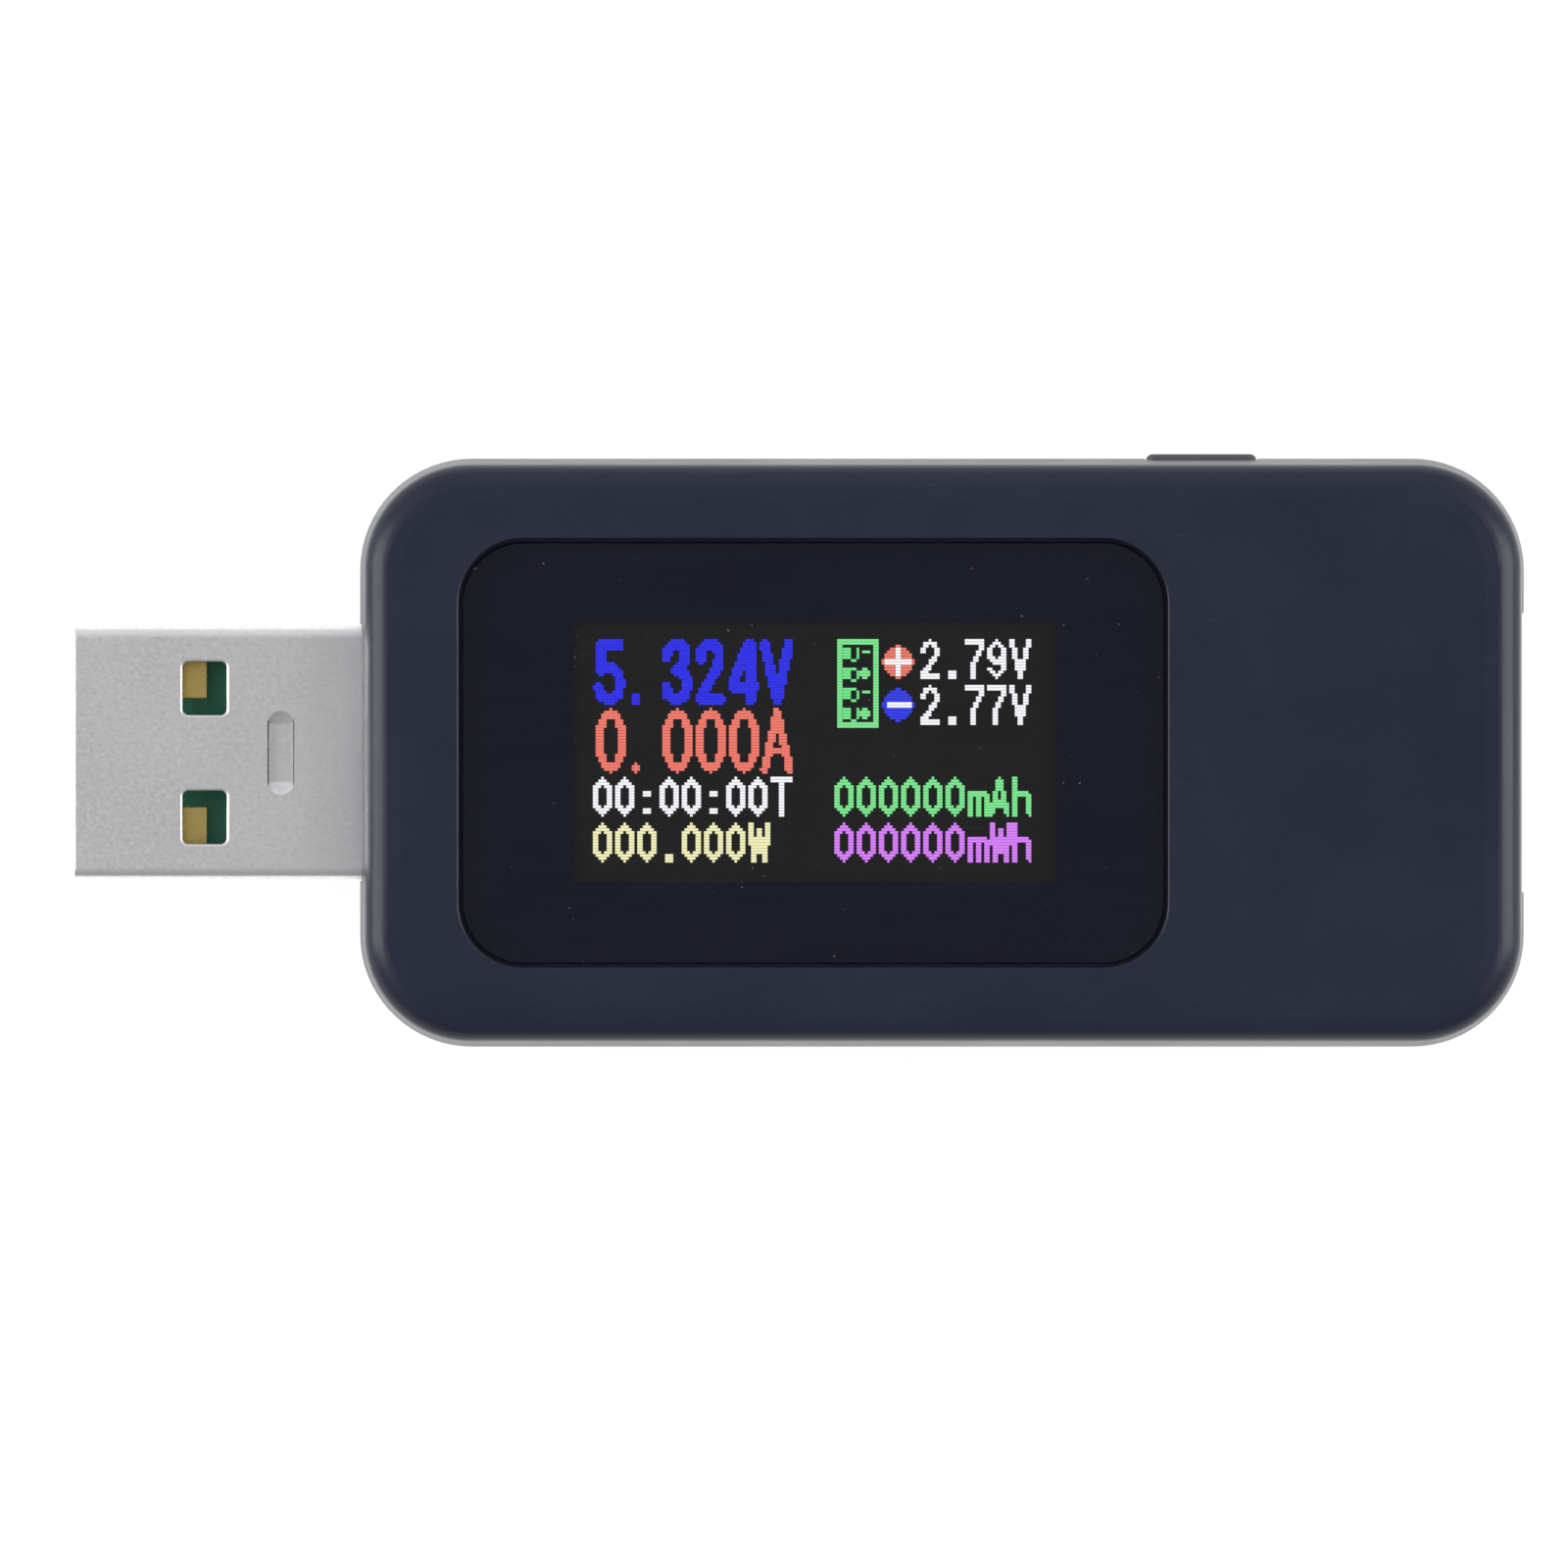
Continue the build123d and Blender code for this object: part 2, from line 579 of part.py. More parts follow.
def usb_plug_shell():
    """A folded sheet tube with four latch holes, a pressed lock strip, a seam underneath and four legs."""
    x = (PLUG_TIP, PLUG_REAR)
    bottom = PLUG_Z - PLUG_HEIGHT / 2
    shell = shell_tube((PLUG_WIDTH, PLUG_HEIGHT), PLUG_R, PLUG_Z, x)
    shell = fillet(lowest(shell, Axis.X), SHEET / 3)
    for y in (-LATCH_HOLE_Y, LATCH_HOLE_Y):
        for z in (PLUG_TOP, bottom):
            hole = slab((PLUG_TIP + LATCH_HOLE_IN, y), LATCH_HOLE, LATCH_HOLE_R, around(z, OVER))
            shell -= hole
            shell = fillet(outer_edges(shell, hole), LATCH_HOLE_EDGE)
    shell -= slab((LANCE_X, 0), LANCE_SLOT, LANCE_SLOT[0] / 2 - 0.01, around(PLUG_TOP, OVER))
    shell += lance_strip()
    shell -= block(x, around(0, SEAM), around(bottom, OVER))
    for leg in shell_legs(PLUG_LEGS, PLUG_WIDTH, PLUG_Z):
        shell += leg
    return shell - tail_gap((PLUG_TAIL_X - SHEET, PLUG_REAR + OVER))


def plug_contact(name):
    """One contact: a flat pad on the tongue, a step down inside it, and a tail through the board."""
    y_mid = CONTACTS[name]
    width = POWER_PAD if abs(y_mid) == POWER_Y else DATA_PAD
    x_end = PLUG_TIP + PAD_END
    pad_z = (TONGUE_TOP - CONTACT / 2, TONGUE_TOP + PAD_RISE)
    pad = block((PLUG_TIP + PAD_START, x_end), around(y_mid, width), pad_z)
    pad = fillet(highest(pad), 0.7 * PAD_RISE)
    step = block((x_end - CONTACT, x_end), around(y_mid, width), (CONTACT_RUN_Z, TONGUE_TOP))
    run_z = (CONTACT_RUN_Z, CONTACT_RUN_Z + CONTACT)
    run = block((x_end - CONTACT, PLUG_TAIL_X + CONTACT), around(y_mid, CONTACT_RUN_WIDTH), run_z)
    tail_x = (PLUG_TAIL_X, PLUG_TAIL_X + CONTACT)
    return pad + step + run + block(tail_x, around(y_mid, TAIL_WIDTH), (TAIL_BOTTOM, CONTACT_RUN_Z + BITE))


def usb_plug_insulator():
    """The moulded tongue and rear block that carry the contacts."""
    inset = SHEET + MOULDING_GAP
    width = PLUG_WIDTH - 2 * inset
    floor = PLUG_Z - PLUG_HEIGHT / 2 + inset
    roof = PLUG_TOP - inset
    rear_x = PLUG_REAR - SHEET
    tongue = block((PLUG_TIP + TONGUE_IN, rear_x), around(0, width), (floor, TONGUE_TOP))
    tongue = chamfer(highest(tongue).group_by(Axis.X)[0], SHEET)
    body = tongue + block((PLUG_TIP + TONGUE_LENGTH, rear_x), around(0, width), (TONGUE_TOP, roof))
    pocket_z = (roof - LANCE_DEPTH, roof + OVER)
    pocket = block(around(LANCE_X, LANCE_SLOT[0] + BITE), around(0, LANCE_SLOT[1] + 2 * BITE), pocket_z)
    body -= pocket
    # The long edges are eased to clear the rounded corners inside the shell
    along = [e for e in body.edges().filter_by(Axis.X) if abs(e.center().Y) > width / 2 - BITE]
    corners = [e for e in along if e.length > OVER and not floor + BITE < e.center().Z < roof - BITE]
    body = chamfer(corners, 0.7 * SHEET)
    for name in CONTACTS:
        body -= plug_contact(name)
    return body


# ---- USB socket ----

def latch_spring(y_mid, half_height, dip):
    """A leaf cut from the socket's wall near the mouth and bent inwards, and the window round it."""
    root = SOCKET_MOUTH - 2.2
    bend = root - 4.8
    tip = bend - 1.2
    z = half_height - SHEET / 2
    points = [(root + SHEET, z), (root, z), (bend, z - dip), (tip, z - dip + SHEET)]
    leaf = ribbon(points, 0.95 * SHEET, around(y_mid, 1.9))
    return leaf, block((tip - SHEET, root), around(y_mid, 2.5), around(z, 2 * SHEET))


def usb_socket_shell():
    """A folded sheet tube with leaf springs on its four walls and legs into the board."""
    shell = shell_tube((SOCKET_WIDTH, SOCKET_HEIGHT), SOCKET_R, 0, (SOCKET_REAR, SOCKET_MOUTH))
    shell = fillet(highest(shell, Axis.X), SHEET / 3)
    # Each spring is made on top of the tube and turned about its axis: two on each wide wall, one per side
    springs = [(turn, y, SOCKET_HEIGHT / 2, 0.5) for turn in (0, 180) for y in (-3.0, 3.0)]
    springs += [(turn, 0, SOCKET_WIDTH / 2, 0.35) for turn in (90, -90)]
    for turn, y_mid, half_height, dip in springs:
        leaf, window = latch_spring(y_mid, half_height, dip)
        shell -= Rot(turn, 0, 0) * window
        shell += Rot(turn, 0, 0) * leaf
    shell = Pos(0, 0, SOCKET_Z) * shell
    for leg in shell_legs(SOCKET_LEGS, SOCKET_WIDTH, SOCKET_Z - 1.2):
        shell += leg
    return shell - tail_gap((SOCKET_REAR - OVER, SOCKET_TAIL_X + FLEX_ROOM))


def socket_contact(name):
    """One contact spring: up through the rear block, along the tongue, and bowed down towards the plug."""
    z = SOCKET_TONGUE_BOTTOM
    bow_x = SOCKET_TONGUE_FRONT - 2.6
    points = [
        (SOCKET_TAIL_X, TAIL_BOTTOM),
        (SOCKET_TAIL_X, z),
        (SOCKET_REAR + SOCKET_BLOCK + 2.3, z),
        (bow_x, z - SPRING_BOW),
        (bow_x + 1.7, z + SPRING_THICKNESS),
    ]
    return ribbon(points, SPRING_THICKNESS, around(CONTACTS[name], SPRING_WIDTH), bend=0.35)


def usb_socket_insulator():
    """The rear block and the tongue, slotted underneath for the contact springs."""
    inset = SHEET + MOULDING_GAP
    rear_size = (SOCKET_WIDTH - 2 * inset, SOCKET_HEIGHT - 2 * inset)
    front_x = SOCKET_REAR + SOCKET_BLOCK
    rear = bar_x(rear_size, SOCKET_R - 0.7 * SHEET, SOCKET_Z, (SOCKET_REAR + 2 * BITE, front_x))
    tongue_z = (SOCKET_TONGUE_BOTTOM, SOCKET_TONGUE_TOP)
    tongue = block((SOCKET_REAR + OVER, SOCKET_TONGUE_FRONT), around(0, SOCKET_TONGUE[1]), tongue_z)
    body = rear + chamfer(highest(tongue, Axis.X), 0.25)
    snug = SPRING_WIDTH + MOULDING_GAP
    groove_x = (front_x, SOCKET_TONGUE_FRONT - 0.5)
    tail_x = (SOCKET_REAR, SOCKET_TAIL_X + 0.5)
    throat_x = (SOCKET_TAIL_X, front_x + BITE)
    for y_mid in CONTACTS.values():
        body -= block(groove_x, around(y_mid, SPRING_WIDTH + SHEET), (0, SOCKET_TONGUE_BOTTOM + 0.45))
        body -= block(tail_x, around(y_mid, snug), (0, SOCKET_TONGUE_BOTTOM + BITE))
        body -= block(throat_x, around(y_mid, snug), around(SOCKET_TONGUE_BOTTOM, SPRING_THICKNESS + BITE))
    return body


# ---- side button and its switch ----

def side_button():
    """The key cap: a rounded bar through the wall, with a flange that stops it falling out."""
    axis = (BUTTON_X, BUTTON_Z)
    cap = bar_y((BUTTON_LENGTH, BUTTON_HEIGHT), BUTTON_R, axis, (INNER_Y - BITE, BUTTON_FACE_Y))
    cap = fillet(highest(cap, Axis.Y), 0.28)
    return cap + bar_y(BUTTON_FLANGE[:2], BUTTON_R, axis, (FLANGE_Y, INNER_Y))


def switch_base():
    """The switch's moulded base, with a round cavity for the dome and the plunger's head."""
    x = around(BUTTON_X, SWITCH_LENGTH)
    base = block(x, (SWITCH_BACK_Y, BASE_FRONT_Y), around(SWITCH_Z, SWITCH_HEIGHT))
    return base - disc_y(CAVITY_R, (CAVITY_FLOOR_Y, BASE_FRONT_Y))


def switch_cover():
    """The steel cover: a plate with a slot for the plunger, and two arms folded back over the base."""
    y = (BASE_FRONT_Y, SWITCH_FRONT_Y)
    arm_z = around(SWITCH_Z, 2.4)
    plate = block(around(BUTTON_X, SWITCH_LENGTH), y, around(SWITCH_Z, SWITCH_HEIGHT))
    plate += block(around(BUTTON_X, SWITCH_LENGTH + 2 * SWITCH_PLATE), y, arm_z)
    for side in (-1, 1):
        inner_x = BUTTON_X + side * SWITCH_LENGTH / 2
        x = sorted((inner_x, inner_x + side * SWITCH_PLATE))
        plate += block(x, (SWITCH_BACK_Y + 0.6, SWITCH_FRONT_Y), arm_z)
    return plate - bar_y(SWITCH_SLOT, 0.3, (BUTTON_X, BUTTON_Z), (y[0] - OVER, y[1] + OVER))


def switch_dome():
    """The snap dome: a shallow dished disc on the cavity's floor."""
    rim_r = CAVITY_R - BITE
    sphere_r = (rim_r**2 + DOME_RISE**2) / (2 * DOME_RISE)
    centre_y = CAVITY_FLOOR_Y + DOME_RISE - sphere_r
    shell = Sphere(sphere_r) - Sphere(sphere_r - DOME_THICKNESS)
    return (Pos(BUTTON_X, centre_y, BUTTON_Z) * shell) & disc_y(2 * CAVITY_R, (CAVITY_FLOOR_Y, BASE_FRONT_Y))


def switch_plunger():
    """The plunger: a nub on the dome, a round head in the cavity, and a flat stem out to the key cap."""
    head_front = BASE_FRONT_Y - 0.02
    head_back = head_front - HEAD_THICKNESS
    nub = disc_y(NUB_R, (CAVITY_FLOOR_Y + DOME_RISE, head_back + BITE))
    head = disc_y(CAVITY_R - 1.5 * BITE, (head_back, head_front))
    return nub + head + bar_y(STEM, 0.25, (BUTTON_X, BUTTON_Z), (head_front - BITE, FLANGE_Y))


def switch_pin_places():
    """Where the switch's four pins go through the board."""
    return [(BUTTON_X + side * SWITCH_PIN_X, y) for side in (-1, 1) for y in SWITCH_PIN_Y]


def switch_terminals():
    """Four pins from the base into the board."""
    z = (TAIL_BOTTOM, BOARD_TOP)
    return [block(around(x, SWITCH_PIN[0]), around(y, SWITCH_PIN[1]), z) for x, y in switch_pin_places()]


# ---- circuit board and what is soldered to it ----

def main_board():
    """The board, with holes for the pins, the contact tails, the shells' legs and the switch's pins."""
    through = (BOARD_BOTTOM - OVER, BOARD_TOP + OVER)
    gap = 2 * BITE
    holes = [post(place, PIN_R + PIN_GAP, through) for place in PINS]
    tails = [(PLUG_TAIL_X + CONTACT / 2, TAIL_WIDTH + gap), (SOCKET_TAIL_X, SPRING_WIDTH + gap)]
    for x, width in tails:
        for y in CONTACTS.values():
            holes.append(block(around(x, CONTACT + gap), around(y, width), through))
    for places, width in ((PLUG_LEGS, PLUG_WIDTH), (SOCKET_LEGS, SOCKET_WIDTH)):
        for x in places:
            for side in (-1, 1):
                centre = (x, side * (width - SHEET) / 2)
                holes.append(slab(centre, (LEG_LENGTH + gap, SHEET + gap), gap, through))
    for x, y in switch_pin_places():
        holes.append(block(around(x, SWITCH_PIN[0] + gap), around(y, SWITCH_PIN[1] + gap), through))
    board = in_case(WALL + BOARD_GAP, (BOARD_BOTTOM, BOARD_TOP))
    for hole in holes:
        board -= hole
    return board


def on_board(place, size, lift=0.0):
    """A block whose top is the size's height above the board, and whose bottom is lift above it."""
    z = (BOARD_TOP + lift, BOARD_TOP + size[2])
    return block(around(place[0], size[0]), around(place[1], size[1]), z)


def chip(place, size):
    """A moulded chip body just above the board, with its upper edges eased and a pin-one dimple."""
    body = chamfer(highest(on_board(place, size, CHIP_LIFT)), 0.12)
    dimple = (place[0] - size[0] / 2 + 0.7, place[1] - size[1] / 2 + 0.7)
    top = BOARD_TOP + size[2]
    return body - post(dimple, 0.25, (top - 0.08, top + OVER))


def leads(place, reach, count, pitch, width, turns):
    """Gull-wing leads on some sides of a chip, each a bent strip from the body's side to the board."""
    foot_z = BOARD_TOP + LEAD_SHEET / 2
    exit_z = foot_z + 0.5
    profile = [(reach, exit_z), (reach + 0.35, exit_z), (reach + 0.45, foot_z), (reach + 0.95, foot_z)]
    found = []
    for turn in turns:
        for i in range(count):
            lead = ribbon(profile, LEAD_SHEET, around((i - (count - 1) / 2) * pitch, width))
            found.append(Pos(place[0], place[1], 0) * Rot(0, 0, turn) * lead)
    return found


def microcontroller():
    """The square controller chip."""
    return chip(MCU_PLACE, MCU_SIZE)


def microcontroller_leads():
    """Eight leads on each of its four sides."""
    return leads(MCU_PLACE, MCU_SIZE[0] / 2, 8, 0.8, 0.35, (0, 90, 180, 270))


def memory_chip():
    """The chip that keeps the totals."""
    return chip(MEMORY_PLACE, MEMORY_SIZE)


def memory_chip_leads():
    """Four leads on each long side."""
    return leads(MEMORY_PLACE, MEMORY_SIZE[1] / 2, 4, 1.27, 0.42, (90, 270))


def sense_amplifier():
    """The chip that reads the shunt."""
    return chip(AMPLIFIER_PLACE, AMPLIFIER_SIZE)


def sense_amplifier_leads():
    """Four leads on each of two sides."""
    return leads(AMPLIFIER_PLACE, AMPLIFIER_SIZE[1] / 2, 4, 0.65, 0.28, (90, 270))


def voltage_regulator():
    """The regulator's body."""
    return chip(REGULATOR_PLACE, REGULATOR_SIZE)


def voltage_regulator_tabs():
    """Three legs on one side and a wide heat tab on the other."""
    x, y = REGULATOR_PLACE
    z = (BOARD_TOP, BOARD_TOP + CHIP_LIFT)
    legs = [block(around(x + dx, 0.45), (y - 2.2, y - 0.9), z) for dx in (-1.5, 0, 1.5)]
    return legs + [block(around(x, 1.7), (y + 0.5, y + 1.9), z)]


def current_shunt():
    """A thick metal strip that all of the current passes through, on two feet."""
    x, y = SHUNT_PLACE
    length, width, thickness = SHUNT_SIZE
    foot_length = 1.3
    lift = 0.25
    shunt = block(around(x, length), around(y, width), (BOARD_TOP + lift, BOARD_TOP + lift + thickness))
    for side in (-1, 1):
        foot_x = around(x + side * (length - foot_length) / 2, foot_length)
        shunt += block(foot_x, around(y, width), (BOARD_TOP, BOARD_TOP + lift + BITE))
    return shunt


def power_inductor():
    """A shielded square inductor with rounded corners."""
    z = (BOARD_TOP, BOARD_TOP + INDUCTOR_SIZE[2])
    return fillet(highest(slab(INDUCTOR_PLACE, INDUCTOR_SIZE[:2], 0.8, z)), 0.2)


def tantalum_capacitor():
    """The bulk capacitor on the supply."""
    return chamfer(highest(on_board(TANTALUM_PLACE, TANTALUM_SIZE)), 0.2)


def clock_crystal():
    """The crystal's metal can."""
    return slab(CRYSTAL_PLACE, CRYSTAL_SIZE[:2], 0.4, (BOARD_TOP, BOARD_TOP + CRYSTAL_SIZE[2]))


def protection_diode():
    """The diode that clamps the supply."""
    return chamfer(highest(on_board(DIODE_PLACE, DIODE_SIZE)), 0.25)


def chip_row(first, step, count, size):
    """Small two-ended parts in a straight row."""
    return [on_board((first[0] + i * step[0], first[1] + i * step[1]), size) for i in range(count)]


def ceramic_capacitors():
    """Two rows of decoupling capacitors."""
    upper = chip_row((-4.4, 3.4), (1.8, 0), 5, CAPACITOR_SIZE)
    return upper + chip_row((-5.0, -9.9), (1.8, 0), 4, CAPACITOR_SIZE)


def chip_resistors():
    """Two rows of resistors."""
    right = chip_row((9.6, 3.0), (0, 1.6), 4, RESISTOR_SIZE)
    return right + chip_row((5.0, 7.4), (0, 1.5), 3, RESISTOR_SIZE)


# ---- writing the parts ----

MAKERS = [
    front_shell, back_shell, back_label,
    display_window, window_mask, window_tape,
    display_gasket, display_polariser, display_filter_glass, display_lower_glass, display_driver,
    display_light_guide, display_frame, display_tape, display_flex,
    usb_plug_shell, usb_plug_insulator, usb_socket_shell, usb_socket_insulator,
    side_button, switch_base, switch_cover, switch_dome, switch_plunger, switch_terminals,
    main_board, microcontroller, microcontroller_leads, memory_chip, memory_chip_leads,
    sense_amplifier, sense_amplifier_leads, voltage_regulator, voltage_regulator_tabs,
    current_shunt, power_inductor, tantalum_capacitor, clock_crystal, protection_diode,
    ceramic_capacitors, chip_resistors,
]


def write(name, shape):
    """One STEP file for one node. A list of solids is a group."""
    whole = Compound(children=list(shape)) if isinstance(shape, list) else shape
    export_step(whole, f"parts/{name}.step")


def main():
    os.makedirs("parts", exist_ok=True)
    for make in MAKERS:
        write(make.__name__, make())
    for name in CONTACTS:
        write(f"plug_contact_{name}", plug_contact(name))
        write(f"socket_contact_{name}", socket_contact(name))


main()
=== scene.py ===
import json
import math

import bmesh
import bpy
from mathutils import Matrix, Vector


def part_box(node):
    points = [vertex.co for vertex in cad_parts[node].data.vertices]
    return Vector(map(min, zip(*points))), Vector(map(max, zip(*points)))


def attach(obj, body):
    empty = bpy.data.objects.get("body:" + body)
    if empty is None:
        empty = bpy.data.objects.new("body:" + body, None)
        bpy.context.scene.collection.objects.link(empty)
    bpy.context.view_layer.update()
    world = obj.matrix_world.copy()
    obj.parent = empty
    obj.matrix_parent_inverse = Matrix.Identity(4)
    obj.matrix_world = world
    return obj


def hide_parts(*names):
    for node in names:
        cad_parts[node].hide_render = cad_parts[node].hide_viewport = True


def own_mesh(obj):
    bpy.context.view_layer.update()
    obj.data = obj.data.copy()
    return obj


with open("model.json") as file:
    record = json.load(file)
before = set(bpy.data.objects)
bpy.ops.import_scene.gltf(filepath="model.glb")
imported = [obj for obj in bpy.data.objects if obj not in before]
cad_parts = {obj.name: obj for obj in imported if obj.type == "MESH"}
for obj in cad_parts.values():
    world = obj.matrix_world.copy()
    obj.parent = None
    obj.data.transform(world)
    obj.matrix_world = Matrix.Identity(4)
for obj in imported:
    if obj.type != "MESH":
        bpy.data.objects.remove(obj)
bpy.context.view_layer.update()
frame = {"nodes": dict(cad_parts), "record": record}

MM = 0.001

# ---------------------------------------------------------------- shader building


class Graph:
    """A material's node tree, with the principled shader in place."""

    def __init__(self, name):
        self.material = bpy.data.materials.new(name)
        self.material.use_nodes = True
        self.tree = self.material.node_tree
        self.tree.nodes.clear()
        self.output = self.tree.nodes.new("ShaderNodeOutputMaterial")
        self.shader = self.node("ShaderNodeBsdfPrincipled")
        self.tree.links.new(self.shader.outputs[0], self.output.inputs["Surface"])
        self.place = self.node("ShaderNodeTexCoord").outputs["Object"]

    def node(self, kind, settings=(), **values):
        made = self.tree.nodes.new(kind)
        for name, value in dict(settings).items():
            setattr(made, name, value)
        for name, value in values.items():
            self.put(made.inputs[name.replace("_", " ")], value)
        return made

    def put(self, socket, value):
        if isinstance(value, bpy.types.NodeSocket):
            self.tree.links.new(value, socket)
        else:
            socket.default_value = value

    def noise(self, size, detail=2.0, roughness=0.5, stretch=None, shift=None):
        """Noise whose features are about size metres across."""
        at = self.place
        if stretch or shift:
            at = self.node("ShaderNodeMapping", Vector=at, Scale=stretch or (1, 1, 1),
                           Location=shift or (0, 0, 0)).outputs[0]
        return self.node("ShaderNodeTexNoise", Vector=at, Scale=1 / size, Detail=detail,
                         Roughness=roughness).outputs["Fac"]

    def span(self, fac, low, high, to_low=0.0, to_high=1.0):
        """fac from low..high to to_low..to_high, held at the ends."""
        made = self.node("ShaderNodeMapRange", Value=fac)
        for name, value in (("From Min", low), ("From Max", high), ("To Min", to_low), ("To Max", to_high)):
            made.inputs[name].default_value = value
        return made.outputs[0]

    def maths(self, operation, a, b=0.0):
        made = self.tree.nodes.new("ShaderNodeMath")
        made.operation = operation
        self.put(made.inputs[0], a)
        self.put(made.inputs[1], b)
        return made.outputs[0]

    def mixed(self, fac, a, b, blend="MIX"):
        made = self.tree.nodes.new("ShaderNodeMix")
        made.data_type = "RGBA"
        made.blend_type = blend
        self.put(made.inputs["Factor"], fac)
        self.put(made.inputs[6], a)
        self.put(made.inputs[7], b)
        return made.outputs[2]

    def bump(self, height, depth, strength=1.0, below=None):
        made = self.node("ShaderNodeBump", Height=height, Distance=depth, Strength=strength)
        if below is not None:
            self.put(made.inputs["Normal"], below)
        return made.outputs[0]

    def axis(self, name):
        return self.node("ShaderNodeSeparateXYZ", Vector=self.place).outputs[name]

    def set(self, **values):
        for name, value in values.items():
            self.put(self.shader.inputs[name.replace("_", " ")], value)
        return self.material


def rgba(color):
    return (*color, 1.0)


def moulded(name, color, worn, roughness=(0.38, 0.5), grain=0.09 * MM, depth=0.004 * MM, specular=0.5,
            scuffs=0.35):
    """Moulded plastic: a spark-eroded grain, cloudy tone, and thin scuffs where it is handled."""
    g = Graph(name)
    fine = g.noise(grain, 3.0, 0.6)
    cloud = g.noise(6 * MM, 3.0, 0.55, shift=(0.31, 0.17, 0.05))
    hair = g.noise(0.5 * MM, 2.0, 0.6, stretch=(0.12, 1.0, 1.0), shift=(0.02, 0.4, 0.1))
    scuff = g.maths("MULTIPLY", g.span(hair, 0.70, 0.78), g.span(cloud, 0.45, 0.65))
    tone = g.mixed(g.span(cloud, 0.3, 0.7, 0.0, 0.5), rgba(color), rgba(worn))
    tone = g.mixed(g.span(fine, 0.35, 0.75, 0.0, 0.35), tone, rgba(worn))
    tone = g.mixed(g.maths("MULTIPLY", scuff, scuffs), tone, rgba([min(1, 2.2 * c + 0.01) for c in worn]))
    rough = g.span(g.maths("ADD", g.maths("MULTIPLY", fine, 0.5), g.maths("MULTIPLY", cloud, 0.5)),
                   0.35, 0.65, *roughness)
    rough = g.maths("SUBTRACT", rough, g.maths("MULTIPLY", scuff, 0.06))
    g.shader.inputs["Specular IOR Level"].default_value = specular
    return g.set(Base_Color=tone, Roughness=rough,
                 Normal=g.bump(fine, depth, 1.0, g.bump(cloud, 0.01 * MM)))


def metal(name, color, tarnish, roughness=(0.22, 0.42), draw=(0.08, 1.0, 1.0), grain=0.12 * MM,
          depth=0.0015 * MM, mottle=0.7 * MM):
    """Plated or drawn sheet metal: lines along the draw, cloudy plating and a few dull patches."""
    g = Graph(name)
    lines = g.noise(grain, 4.0, 0.65, stretch=draw)
    patch = g.noise(mottle, 4.0, 0.6, shift=(0.2, 0.1, 0.3))
    broad = g.noise(5 * MM, 2.0, 0.5, shift=(0.5, 0.6, 0.1))
    tone = g.mixed(g.span(patch, 0.35, 0.7, 0.0, 0.75), rgba(color), rgba(tarnish))
    tone = g.mixed(g.span(broad, 0.4, 0.7, 0.0, 0.4), tone, rgba(tarnish))
    dull = g.maths("ADD", g.maths("MULTIPLY", patch, 0.6), g.maths("MULTIPLY", lines, 0.4))
    return g.set(Base_Color=tone, Metallic=1.0, Roughness=g.span(dull, 0.35, 0.65, *roughness),
                 Normal=g.bump(lines, depth, 1.0, g.bump(patch, 2 * depth)))


def coated(name, color, other, roughness=(0.25, 0.4), grain=0.3 * MM, depth=0.004 * MM, weave=None,
           specular=0.5):
    """Smooth coated sheet: resist over glass cloth, film, or glaze, with an optional weave under it."""
    g = Graph(name)
    patch = g.noise(grain, 3.0, 0.6)
    broad = g.noise(4 * MM, 3.0, 0.55, shift=(0.1, 0.8, 0.2))
    tone = g.mixed(g.span(patch, 0.35, 0.7, 0.0, 0.6), rgba(color), rgba(other))
    tone = g.mixed(g.span(broad, 0.4, 0.7, 0.0, 0.4), tone, rgba(other))
    normal = g.bump(patch, depth)
    if weave:
        turns = 2 * math.pi / weave
        across = g.maths("SINE", g.maths("MULTIPLY", g.axis("X"), turns))
        along = g.maths("SINE", g.maths("MULTIPLY", g.axis("Y"), turns))
        cloth = g.maths("MULTIPLY", across, along)
        tone = g.mixed(g.span(cloth, -1, 1, 0.0, 0.25), tone, rgba(other))
        normal = g.bump(cloth, 0.01 * MM, 0.5, normal)
    g.shader.inputs["Specular IOR Level"].default_value = specular
    return g.set(Base_Color=tone, Roughness=g.span(patch, 0.35, 0.7, *roughness), Normal=normal)


